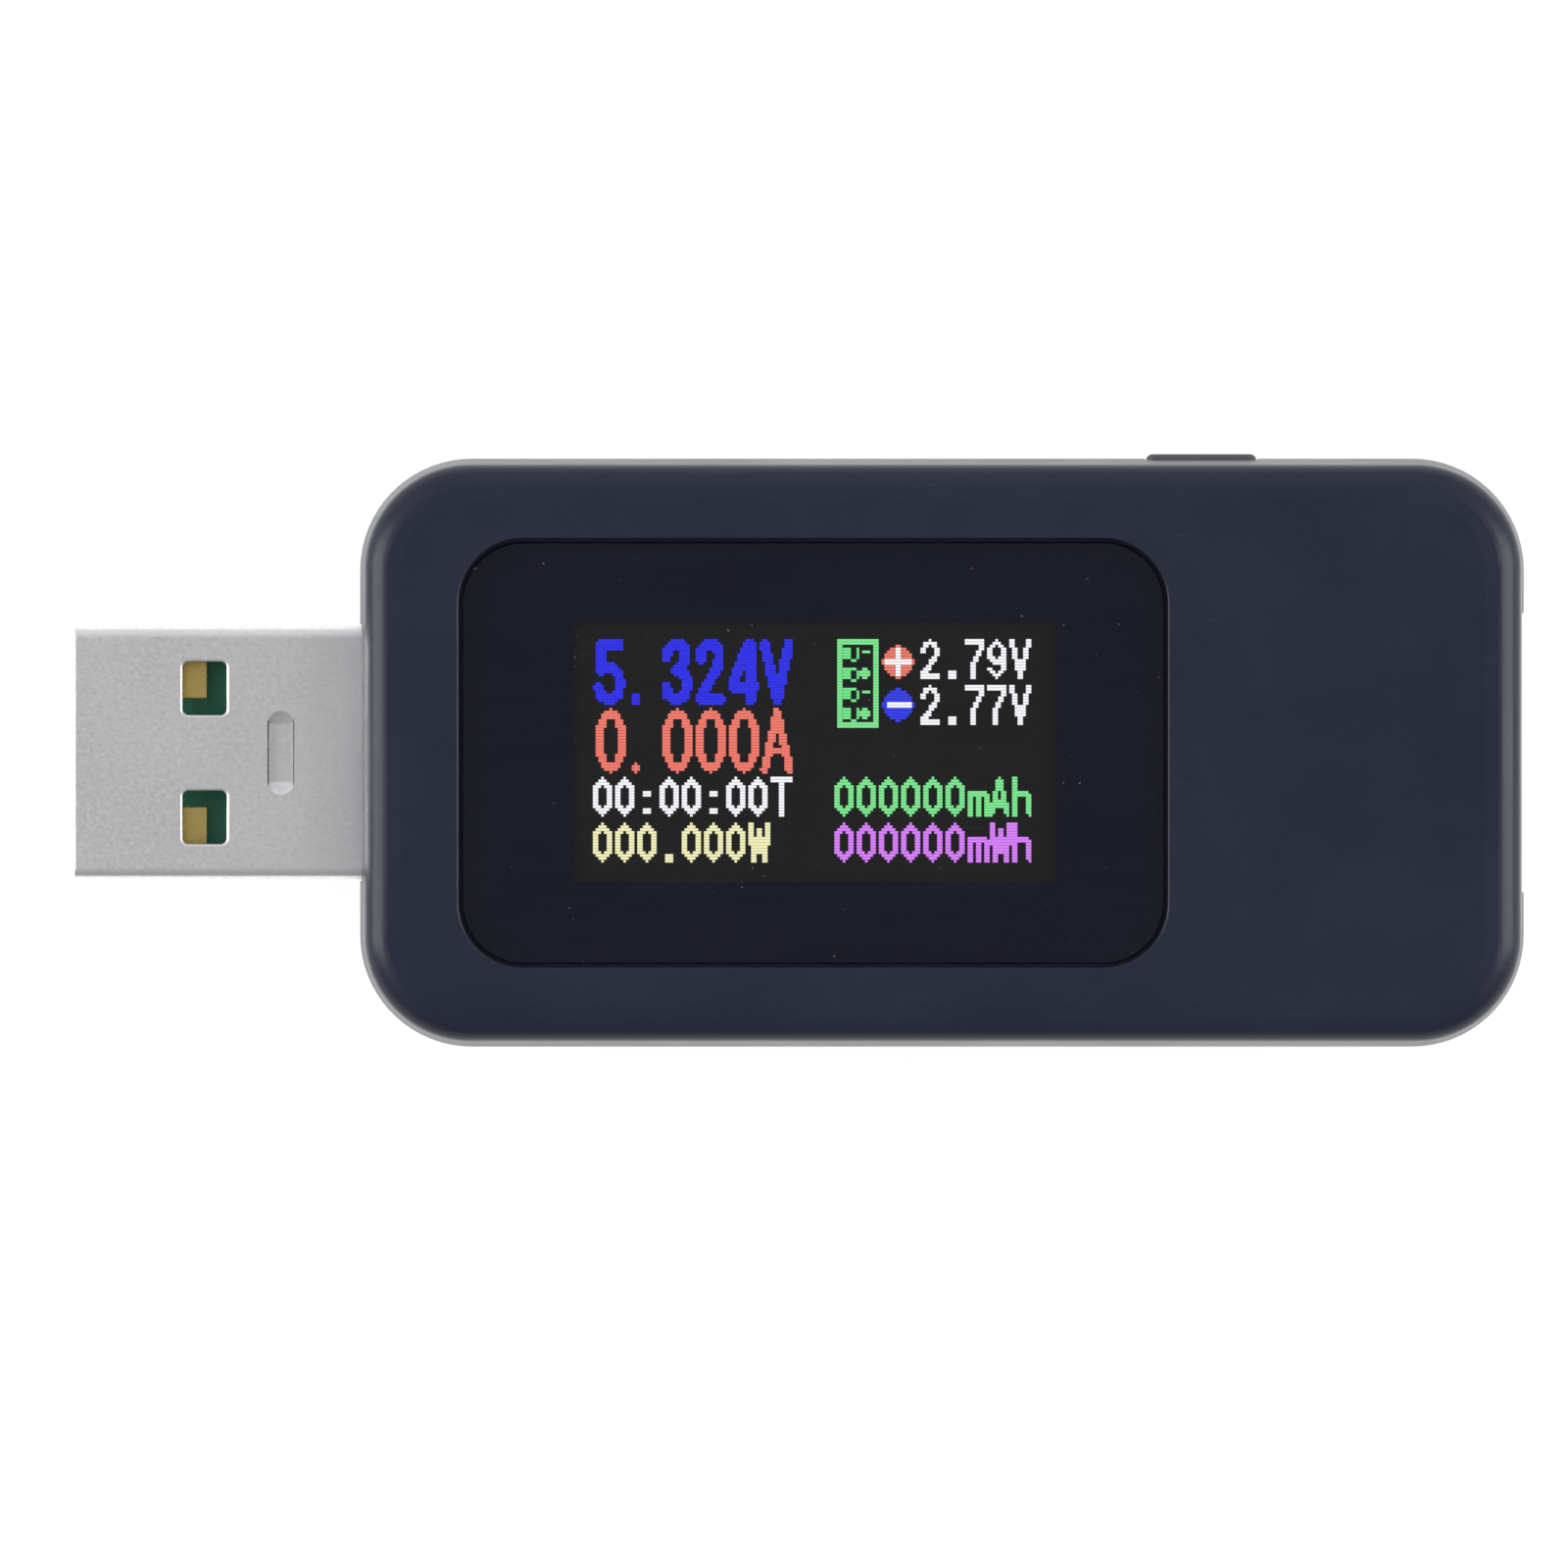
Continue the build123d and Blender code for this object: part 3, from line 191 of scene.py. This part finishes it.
def clear(name, film, tint, rough=0.03, lift=0.0):
    """A clear sheet: a reflecting upper skin over a see-through body, with hairlines, haze and dust."""
    g = Graph(name)
    hair = g.noise(0.16 * MM, 3.0, 0.7, stretch=(0.012, 1.0, 1.0))
    fleck = g.noise(0.22 * MM, 2.0, 0.5, shift=(0.7, 0.2, 0.4))
    cloud = g.noise(9 * MM, 2.0, 0.5, shift=(0.3, 0.2, 0.9))
    streak = g.span(hair, 0.45, 0.75)
    dust = g.span(fleck, 0.765, 0.79)
    haze = g.maths("MULTIPLY", streak, g.span(cloud, 0.3, 0.7, 0.3, 1.0))
    cover = g.maths("ADD", g.maths("MULTIPLY", haze, 0.02), g.maths("MULTIPLY", dust, 0.35))
    see = g.node("ShaderNodeBsdfTransparent", Color=rgba(tint))
    normal = g.bump(hair, 0.0006 * MM)
    skin = g.node("ShaderNodeBsdfGlossy", Color=(1, 1, 1, 1), Normal=normal,
                  Roughness=g.span(hair, 0.3, 0.7, rough, rough + 0.12))
    front = g.maths("SUBTRACT", 1.0, g.node("ShaderNodeNewGeometry").outputs["Backfacing"])
    facing = g.maths("MULTIPLY", g.node("ShaderNodeFresnel", IOR=1.49).outputs[0], front)
    g.set(Base_Color=g.mixed(dust, rgba(film), (0.5, 0.5, 0.48, 1)), Roughness=0.6)
    body = g.node("ShaderNodeMixShader", Fac=g.maths("ADD", cover, lift))
    g.tree.links.new(see.outputs[0], body.inputs[1])
    g.tree.links.new(g.shader.outputs[0], body.inputs[2])
    whole = g.node("ShaderNodeMixShader", Fac=facing)
    g.tree.links.new(body.outputs[0], whole.inputs[1])
    g.tree.links.new(skin.outputs[0], whole.inputs[2])
    g.tree.links.new(whole.outputs[0], g.output.inputs["Surface"])
    return g.material


GLOW = 1.12


def glowing(name, color):
    """One ink of the lit picture: an even glow, over a slightly rough film."""
    g = Graph(name)
    film = g.noise(0.4 * MM, 2.0, 0.5)
    g.shader.inputs["Emission Color"].default_value = rgba(color)
    g.shader.inputs["Emission Strength"].default_value = GLOW
    g.shader.inputs["Specular IOR Level"].default_value = 0.1
    return g.set(Base_Color=g.mixed(film, (0.01, 0.01, 0.01, 1), (0.03, 0.03, 0.03, 1)),
                 Roughness=g.span(film, 0.3, 0.7, 0.5, 0.7))


# ---------------------------------------------------------------- finishes

CASE = moulded("case_plastic", (0.0104, 0.0128, 0.0265), (0.0172, 0.0205, 0.0390), roughness=(0.28, 0.36),
               depth=0.0018 * MM, specular=0.28)
BUTTON = moulded("button_plastic", (0.055, 0.055, 0.060), (0.080, 0.080, 0.085), roughness=(0.45, 0.58))
WINDOW = clear("window_acrylic", (0.10, 0.10, 0.12), (0.93, 0.93, 0.94))
PANE = clear("pane_glass", (0.3, 0.33, 0.33), (0.80, 0.85, 0.84), rough=0.02, lift=0.12)
PRINT = moulded("printed_ink", (0.0022, 0.0022, 0.0120), (0.0050, 0.0050, 0.0170), roughness=(0.5, 0.6),
                grain=0.15 * MM, depth=0.0005 * MM, specular=0.0, scuffs=0.0)
POLARISER = coated("polariser_film", (0.0040, 0.0040, 0.0040), (0.0065, 0.0065, 0.0065), roughness=(0.4, 0.5),
                   depth=0.0004 * MM, specular=0.1)
TAPE = coated("adhesive_tape", (0.62, 0.60, 0.52), (0.74, 0.72, 0.66), roughness=(0.35, 0.55))
FOAM = moulded("gasket_foam", (0.012, 0.012, 0.012), (0.03, 0.03, 0.03), roughness=(0.85, 0.95),
               grain=0.2 * MM, depth=0.05 * MM, specular=0.2, scuffs=0.0)
GUIDE = coated("guide_acrylic", (0.72, 0.75, 0.76), (0.82, 0.84, 0.85), roughness=(0.08, 0.2),
               depth=0.001 * MM)
FRAME = moulded("frame_plastic", (0.66, 0.66, 0.64), (0.74, 0.74, 0.72), roughness=(0.45, 0.6))
FLEX = coated("polyimide", (0.36, 0.16, 0.02), (0.46, 0.24, 0.05), roughness=(0.25, 0.4))
SILICON = coated("silicon", (0.06, 0.06, 0.075), (0.10, 0.10, 0.12), roughness=(0.1, 0.25), depth=0.0005 * MM)
NICKEL = metal("nickel_plate", (1.0, 0.985, 0.99), (0.82, 0.81, 0.82), roughness=(0.28, 0.40),
               draw=(0.5, 1.0, 1.0), depth=0.0008 * MM, mottle=0.25 * MM)
STEEL = metal("spring_steel", (0.66, 0.66, 0.67), (0.52, 0.52, 0.53))
TIN = metal("tin_plate", (0.74, 0.74, 0.75), (0.56, 0.56, 0.57), roughness=(0.3, 0.5), draw=(1, 1, 1))
GOLD = metal("gold_plate", (1.0, 0.78, 0.28), (0.90, 0.64, 0.20), roughness=(0.22, 0.4),
             draw=(0.3, 1.0, 1.0))
SHUNT = metal("shunt_alloy", (0.50, 0.42, 0.34), (0.36, 0.29, 0.23), roughness=(0.35, 0.55))
GREEN = moulded("green_insulator", (0.014, 0.155, 0.096), (0.026, 0.210, 0.130), roughness=(0.35, 0.5),
                grain=0.12 * MM)
BLACK = moulded("black_insulator", (0.010, 0.010, 0.011), (0.022, 0.022, 0.023), roughness=(0.38, 0.52),
                grain=0.12 * MM)
BOARD = coated("solder_mask", (0.008, 0.095, 0.035), (0.014, 0.135, 0.050), roughness=(0.2, 0.35),
               weave=0.6 * MM)
EPOXY = moulded("moulded_epoxy", (0.016, 0.016, 0.017), (0.034, 0.034, 0.035), roughness=(0.55, 0.75),
                grain=0.05 * MM, depth=0.006 * MM)
FERRITE = moulded("ferrite", (0.035, 0.035, 0.038), (0.065, 0.065, 0.068), roughness=(0.6, 0.8),
                  grain=0.07 * MM, depth=0.01 * MM)
TANTALUM = moulded("tantalum_case", (0.55, 0.27, 0.03), (0.66, 0.36, 0.06), roughness=(0.4, 0.55))
CERAMIC = moulded("fired_ceramic", (0.36, 0.22, 0.11), (0.46, 0.31, 0.18), roughness=(0.45, 0.6))
GLAZE = coated("resistor_glaze", (0.016, 0.016, 0.018), (0.034, 0.034, 0.037), roughness=(0.15, 0.3))
LABEL = moulded("label_film", (0.34, 0.34, 0.36), (0.42, 0.42, 0.44), roughness=(0.38, 0.5),
                grain=0.15 * MM, depth=0.002 * MM)

FINISH_OF_SLOT = {
    "case_black": CASE, "button_grey": BUTTON, "lens_smoke": WINDOW, "print_black": PRINT,
    "tape_clear": TAPE, "foam_black": FOAM, "polariser_dark": POLARISER, "pane": PANE,
    "guide_clear": GUIDE, "frame_white": FRAME, "flex_amber": FLEX, "silicon": SILICON,
    "shell_nickel": NICKEL, "insulator_green": GREEN, "insulator_black": BLACK, "contact_gold": GOLD,
    "switch_black": BLACK, "switch_steel": STEEL, "dome_steel": STEEL, "lead_tin": TIN,
    "board_green": BOARD, "chip_black": EPOXY, "shunt_alloy": SHUNT, "ferrite": FERRITE,
    "tantalum_yellow": TANTALUM, "ceramic_tan": CERAMIC, "resistor_black": GLAZE, "label_silver": LABEL,
}

for subpart in frame["record"]["subparts"]:
    node = frame["nodes"][subpart["node"]]
    node.data.materials.clear()
    node.data.materials.append(FINISH_OF_SLOT[subpart["material_slot"]])

# ---------------------------------------------------------------- the snap dome

# The snap dome: a copy of the switch dome's mesh, as a piece of its own on the meter's body, in place of the
# part, which is hidden
low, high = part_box("switch_dome")
dome = bpy.data.objects.new("snap_dome", frame["nodes"]["switch_dome"].data.copy())
bpy.context.scene.collection.objects.link(dome)
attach(dome, "meter")
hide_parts("switch_dome")
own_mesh(dome)

# ---------------------------------------------------------------- the lit picture

# The display has 160 by 80 dots. Letters are pen strokes on that grid, measured from a cell's upper left.
DOTS = (160, 80)
TALL = {
    "0": [[(6.5, 2.6), (8.9, 4.8), (10.4, 8.6), (10.4, 16.4), (8.9, 20.2), (6.5, 22.4), (4.1, 20.2),
           (2.6, 16.4), (2.6, 8.6), (4.1, 4.8), (6.5, 2.6)]],
    "2": [[(2.9, 7.8), (3.3, 4.8), (5.2, 2.9), (7.4, 2.9), (9.4, 4.8), (9.6, 7.8), (8.6, 11.4), (3.0, 21.0),
           (3.0, 22.1), (10.0, 22.1)]],
    "3": [[(2.5, 7.4), (3.1, 4.8), (5.0, 2.9), (7.4, 2.9), (9.4, 4.8), (9.4, 8.4), (7.4, 11.6), (6.2, 11.8)],
          [(7.4, 11.6), (9.6, 14.2), (9.8, 17.6), (9.0, 20.4), (7.2, 22.1), (5.0, 22.1), (3.0, 20.4),
           (2.4, 17.8)]],
    "4": [[(8.7, 2.9), (8.7, 22.1)], [(8.0, 2.9), (2.4, 16.6), (2.4, 17.6), (10.4, 17.6)]],
    "5": [[(9.6, 2.9), (3.2, 2.9), (3.0, 12.2), (4.8, 10.9), (7.0, 10.9), (9.2, 12.9), (9.9, 16.4),
           (9.2, 20.2), (7.0, 22.1), (5.0, 22.1), (3.0, 20.6), (2.2, 18.2)]],
    ".": [[(3.4, 21.7), (3.6, 22.2)]],
    "V": [[(1.9, 2.9), (6.5, 22.1), (10.6, 2.9)]],
    "A": [[(1.9, 22.4), (6.4, 2.6), (10.9, 22.4)], [(3.6, 16.0), (9.2, 16.0)]],
}
SMALL = {
    "0": [[(3.5, 2), (6, 5), (6, 11), (3.5, 14), (1, 11), (1, 5), (3.5, 2)]],
    "2": [[(1, 5.2), (1.6, 3.2), (3.5, 2), (5.4, 3.2), (6, 5.2), (5.2, 7.6), (1, 13.4), (1, 14), (6.4, 14)]],
    "7": [[(0.9, 2), (6, 2), (5.8, 4), (3.4, 9.4), (3, 14)]],
    "9": [[(6, 6), (4.2, 9.2), (3, 9.2), (1, 7), (1, 4.6), (3.5, 2), (6, 4.6), (6, 11.4), (3.5, 14),
           (1.2, 11.6)]],
    ":": [[(3.2, 6.5), (3.8, 7.5), (3.8, 6.5), (3.2, 7.5)],
          [(3.2, 12.5), (3.8, 13.5), (3.8, 12.5), (3.2, 13.5)]],
    ".": [[(3.1, 13.1), (3.9, 13.9), (3.9, 13.1), (3.1, 13.9)]],
    "T": [[(1, 2), (7, 2)], [(4, 2), (4, 14)]],
    "V": [[(0.9, 2), (4, 14), (7.1, 2)]],
    "W": [[(0.9, 2), (2, 14), (4, 4), (6, 14), (7.1, 2)]],
    "A": [[(0.6, 14), (3.5, 2), (6.4, 14)], [(1.6, 10.5), (5.4, 10.5)]],
    "m": [[(1, 14), (1, 7), (5.6, 7), (7, 8), (7, 14)], [(4, 7), (4, 14)]],
    "h": [[(1, 2), (1, 14)], [(1, 8.4), (3, 6.6), (4.6, 6.6), (6.4, 8.6), (6.4, 14)]],
}
FONTS = {"tall": (TALL, 12), "small": (SMALL, 8)}
# font, pen's half width, column and row of the first cell, ink, characters
READINGS = [
    ("tall", 1.9, 0, 0, "blue", "5.324V"),
    ("tall", 1.45, 0, 24, "coral", "0.000A"),
    ("small", 1.02, 0, 48, "white", "00:00:00T"),
    ("small", 1.02, 0, 64, "cream", "000.000W"),
    ("small", 0.95, 118, 0, "white", "2.79V"),
    ("small", 0.95, 118, 16, "white", "2.77V"),
    ("small", 1.02, 87, 48, "mint", "000000mAh"),
    ("small", 1.02, 87, 64, "violet", "000000mWh"),
]
INKS = {
    "blue": (0.008, 0.009, 0.86), "coral": (0.93, 0.19, 0.135), "white": (0.98, 0.98, 1.0),
    "cream": (0.94, 0.91, 0.50), "mint": (0.20, 0.84, 0.27), "violet": (0.72, 0.21, 0.98),
    "green": (0.16, 0.84, 0.24), "orange": (0.88, 0.19, 0.12), "azure": (0.015, 0.03, 0.82),
}


def gap_to(dot, start, end):
    """Distance from a dot to a stroke."""
    run = end - start
    along = max(0.0, min(1.0, (dot - start).dot(run) / max(run.length_squared, 1e-9)))
    return (dot - start - along * run).length


def drawn(strokes, half_pen, corner):
    """The dots that a pen covers along these strokes."""
    lit = set()
    for points in strokes:
        points = [Vector(p) for p in points]
        for start, end in zip(points, points[1:]):
            xs = sorted((start.x, end.x))
            ys = sorted((start.y, end.y))
            for row in range(int(ys[0] - half_pen) - 1, int(ys[1] + half_pen) + 2):
                for column in range(int(xs[0] - half_pen) - 1, int(xs[1] + half_pen) + 2):
                    if gap_to(Vector((column + 0.5, row + 0.5)), start, end) <= half_pen:
                        lit.add((column + corner[0], row + corner[1]))
    return lit


def filled(low, high):
    """Every dot from the low corner up to, and not with, the high one."""
    return {(column, row) for column in range(low[0], high[0]) for row in range(low[1], high[1])}


def disc(middle, radius):
    """The dots of a round icon, about a point between four dots."""
    reach = range(-int(radius) - 1, int(radius) + 1)
    return {(middle[0] + i, middle[1] + j) for i in reach for j in reach
            if math.hypot(i + 0.5, j + 0.5) <= radius}


picture = {ink: set() for ink in INKS}
for font, half_pen, column, row, ink, characters in READINGS:
    shapes, step = FONTS[font]
    for count, character in enumerate(characters):
        picture[ink] |= drawn(shapes[character], half_pen, (column + count * step, row))

# The socket icon: a framed block of four contacts, each with its letter and sign
picture["mint"] |= filled((88, 1), (103, 32)) - filled((90, 3), (101, 30))
for row, letter, sign in ((4, "U", "-"), (11, "D", "+"), (18, "D", "-"), (25, "U", "+")):
    picture["green"] |= filled((90, row), (92, row + 4))
    loop = filled((92, row), (96, row + 5)) - filled((93, row + 1), (95, row + 4))
    opening = {(95, row)} if letter == "D" else filled((93, row), (95, row + 1))
    picture["green"] |= loop - opening - {(92, row + 4), (95, row + 4)}
    picture["mint"] |= filled((97, row + 1), (100, row + 2)) if sign == "-" else disc((98, row + 2), 1.6)

# The signal icons: a plus and a minus on discs
plus = filled((105, 8), (115, 10)) | filled((109, 4), (111, 14))
minus = filled((106, 23), (115, 25))
picture["orange"] |= disc((110, 9), 5.7) - plus
picture["azure"] |= disc((110, 24), 5.6) - minus
picture["white"] |= plus | minus

# A dot's size, the share of it that is dark at each side, and how far the bars stand up from the polariser.
# The picture's middle lies a little off the polariser's.
PITCH = (0.1309 * MM, 0.1352 * MM)
SEAM = 0.05
INK_RISE = 0.006 * MM
PICTURE_SHIFT = (-0.02 * MM, 0.10 * MM)
low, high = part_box("display_polariser")
picture_left = (low.x + high.x) / 2 + PICTURE_SHIFT[0] - DOTS[0] / 2 * PITCH[0]
picture_top = (low.y + high.y) / 2 + PICTURE_SHIFT[1] + DOTS[1] / 2 * PITCH[1]
ink_z = (high.z - INK_RISE, high.z + INK_RISE)


def block_into(mesh, xs, ys, zs):
    """Adds a closed block to a bmesh."""
    corners = [mesh.verts.new((x, y, z)) for z in zs for y in ys for x in xs]
    for face in ((0, 2, 3, 1), (4, 5, 7, 6), (0, 1, 5, 4), (2, 6, 7, 3), (0, 4, 6, 2), (1, 3, 7, 5)):
        mesh.faces.new([corners[i] for i in face])


def dots_piece(ink, dots):
    """One piece with a thin raised bar for each unbroken run of lit dots in a row."""
    mesh = bmesh.new()
    for column, row in sorted(dots):
        if (column - 1, row) in dots:
            continue
        end = column
        while (end, row) in dots:
            end += 1
        y = picture_top - row * PITCH[1]
        block_into(mesh, (picture_left + (column + SEAM) * PITCH[0], picture_left + (end - SEAM) * PITCH[0]),
                   (y - (1 - SEAM) * PITCH[1], y - SEAM * PITCH[1]), ink_z)
    data = bpy.data.meshes.new(f"dots_{ink}")
    mesh.to_mesh(data)
    mesh.free()
    piece = bpy.data.objects.new(f"display_dots_{ink}", data)
    bpy.context.scene.collection.objects.link(piece)
    data.materials.append(glowing(f"glow_{ink}", INKS[ink]))
    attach(piece, "meter")


for ink, dots in picture.items():
    dots_piece(ink, dots)

# ---------------------------------------------------------------- floor, light and camera

scene = bpy.context.scene
scene.view_settings.view_transform = "Standard"
scene.view_settings.look = "None"

FLOOR_RADIUS = 4.0
FLOOR_GLOW = 0.93


def floor():
    """A wide pale floor, under the meter."""
    mesh = bmesh.new()
    bmesh.ops.create_circle(mesh, cap_ends=True, radius=FLOOR_RADIUS, segments=96)
    data = bpy.data.meshes.new("floor")
    mesh.to_mesh(data)
    mesh.free()
    made = bpy.data.objects.new("floor", data)
    scene.collection.objects.link(made)
    g = Graph("floor_paper")
    tooth = g.noise(1.5 * MM, 3.0, 0.6)
    g.shader.inputs["Emission Color"].default_value = (1, 1, 1, 1)
    g.shader.inputs["Emission Strength"].default_value = FLOOR_GLOW
    g.shader.inputs["Specular IOR Level"].default_value = 0.1
    data.materials.append(g.set(Base_Color=g.mixed(tooth, (0.11, 0.11, 0.11, 1), (0.14, 0.14, 0.14, 1)),
                                Roughness=g.span(tooth, 0.3, 0.7, 0.8, 0.95)))


def ramp(tree, value, low, high, to_low, to_high):
    """A value from low..high to to_low..to_high, held at the ends, in the surroundings' node tree."""
    made = tree.nodes.new("ShaderNodeMapRange")
    tree.links.new(value, made.inputs["Value"])
    for name, number in (("From Min", low), ("From Max", high), ("To Min", to_low), ("To Max", to_high)):
        made.inputs[name].default_value = number
    return made.outputs[0]


def sky():
    """Soft surroundings: dim straight overhead, lighter half way down, and dimmer again on the near side."""
    world = bpy.data.worlds.new("surroundings")
    world.use_nodes = True
    tree = world.node_tree
    place = tree.nodes.new("ShaderNodeTexCoord")
    split = tree.nodes.new("ShaderNodeSeparateXYZ")
    tree.links.new(place.outputs["Generated"], split.inputs[0])
    fall = tree.nodes.new("ShaderNodeMath")
    fall.operation = "ARCCOSINE"
    tree.links.new(split.outputs["Z"], fall.inputs[0])
    shade = tree.nodes.new("ShaderNodeMath")
    shade.operation = "MULTIPLY"
    tree.links.new(ramp(tree, fall.outputs[0], 0.0, 0.8, 0.29, 0.70), shade.inputs[0])
    tree.links.new(ramp(tree, split.outputs["Y"], -0.8, 0.2, 0.42, 1.0), shade.inputs[1])
    back = tree.nodes["Background"]
    back.inputs["Color"].default_value = (0.97, 0.98, 1.0, 1)
    tree.links.new(shade.outputs[0], back.inputs["Strength"])
    scene.world = world


def softbox(name, at, size, power):
    """A broad area light, turned to face the meter."""
    light = bpy.data.lights.new(name, "AREA")
    light.shape = "RECTANGLE"
    light.size, light.size_y = size
    light.energy = power
    made = bpy.data.objects.new(name, light)
    made.location = at
    made.rotation_euler = (-Vector(at)).to_track_quat("-Z", "Y").to_euler()
    made.visible_camera = False
    scene.collection.objects.link(made)


floor()
sky()
softbox("softbox_left", (-0.60, 0.05, 0.36), (0.35, 0.7), 4.0)
softbox("softbox_right", (0.60, 0.05, 0.38), (0.35, 0.7), 3.8)

# The camera looks almost straight down, at a point to one side of the case's middle
DISTANCE = 0.9
TILT = math.radians(0.25)
FIELD = 73.84 * MM
SENSOR = 36.0
AIM_SHIFT = (-7.49 * MM, -1.46 * MM)
low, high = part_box("front_shell")
aim = Vector(((low.x + high.x) / 2 + AIM_SHIFT[0], (low.y + high.y) / 2 + AIM_SHIFT[1], high.z))
camera_data = bpy.data.cameras.new("camera")
camera_data.sensor_width = SENSOR
camera_data.lens = SENSOR * DISTANCE / FIELD
camera_data.clip_start = 0.01
camera = bpy.data.objects.new("camera", camera_data)
camera.location = aim + DISTANCE * Vector((0, math.sin(TILT), math.cos(TILT)))
camera.rotation_euler = (-TILT, 0, 0)
scene.collection.objects.link(camera)
scene.camera = camera
